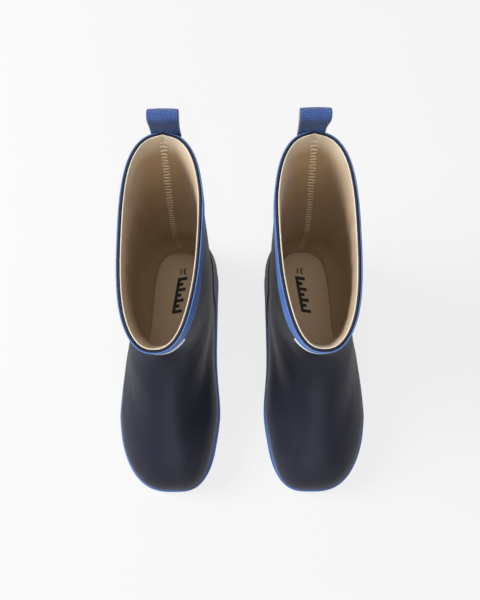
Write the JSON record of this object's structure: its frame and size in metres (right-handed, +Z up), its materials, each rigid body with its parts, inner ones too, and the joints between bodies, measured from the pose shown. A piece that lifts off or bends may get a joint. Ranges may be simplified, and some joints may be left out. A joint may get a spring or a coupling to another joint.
{
  "type": "pair of rubber boots",
  "caption": "Pair of pull-on rubber boots with oval open shafts, fabric lining, treaded soles, lift-out insoles and webbing pull loops.",
  "frame": {"origin": "on the ground under the middle of the pair's box", "axes": "+Z up, -Y towards the toes, +X towards the left boot; the pair is mirrored about X=0"},
  "size_m": [0.2096, 0.2313, 0.2377],
  "materials": {
    "navy_rubber": "matte",
    "blue_rubber": "matte",
    "blue_webbing": "woven",
    "cotton_lining": "knitted cotton",
    "seam_thread": "thread",
    "insole_fabric": "felt",
    "foam": "foam",
    "fibreboard": "pressed fibre",
    "inner_ply": "matte",
    "reflective_grey": "satin"
  },
  "bodies": {
    "right_boot": {"right_outsole": "blue_rubber", "right_foxing_strip": "blue_rubber", "right_sole_filler": "foam", "right_insole_board": "fibreboard", "right_upper": "navy_rubber", "right_toe_puff": "inner_ply", "right_heel_stiffener": "inner_ply", "right_heel_counter": "navy_rubber", "right_back_strip": "navy_rubber", "right_top_band": "blue_rubber", "right_reflective_patch": "reflective_grey", "right_lining": "cotton_lining", "right_lining_seam": "seam_thread", "right_insole_foam_toe": "foam", "right_insole_cover_toe": "insole_fabric", "right_loop_tail": "blue_webbing"},
    "right_insole_heel": {"right_insole_foam_heel": "foam", "right_insole_cover_heel": "insole_fabric"},
    "right_pull_loop": {"right_pull_loop": "blue_webbing"},
    "left_boot": {"left_outsole": "blue_rubber", "left_foxing_strip": "blue_rubber", "left_sole_filler": "foam", "left_insole_board": "fibreboard", "left_upper": "navy_rubber", "left_toe_puff": "inner_ply", "left_heel_stiffener": "inner_ply", "left_heel_counter": "navy_rubber", "left_back_strip": "navy_rubber", "left_top_band": "blue_rubber", "left_reflective_patch": "reflective_grey", "left_lining": "cotton_lining", "left_lining_seam": "seam_thread", "left_insole_foam_toe": "foam", "left_insole_cover_toe": "insole_fabric", "left_loop_tail": "blue_webbing"},
    "left_insole_heel": {"left_insole_foam_heel": "foam", "left_insole_cover_heel": "insole_fabric"},
    "left_pull_loop": {"left_pull_loop": "blue_webbing"}
  },
  "joints": [
    {"name": "left_boot_lift", "type": "slide", "parent": "right_boot", "child": "left_boot", "axis": [0, 0, 1], "range_m": [0, 0.3]},
    {"name": "right_insole_lift", "type": "hinge", "parent": "right_boot", "child": "right_insole_heel", "pos_m": [-0.0525, -0.00347, 0.01725], "axis": [1, 0, 0], "range_deg": [0, 50]},
    {"name": "right_loop_swing", "type": "hinge", "parent": "right_boot", "child": "right_pull_loop", "pos_m": [-0.0418, 0.10938, 0.21916], "axis": [1, 0, 0], "range_deg": [-60, 70], "stiffness_Nm_per_rad": 0.01},
    {"name": "left_insole_lift", "type": "hinge", "parent": "left_boot", "child": "left_insole_heel", "pos_m": [0.0525, -0.00347, 0.01725], "axis": [1, 0, 0], "range_deg": [0, 50]},
    {"name": "left_loop_swing", "type": "hinge", "parent": "left_boot", "child": "left_pull_loop", "pos_m": [0.0418, 0.10938, 0.21916], "axis": [1, 0, 0], "range_deg": [-60, 70], "stiffness_Nm_per_rad": 0.01}
  ]
}
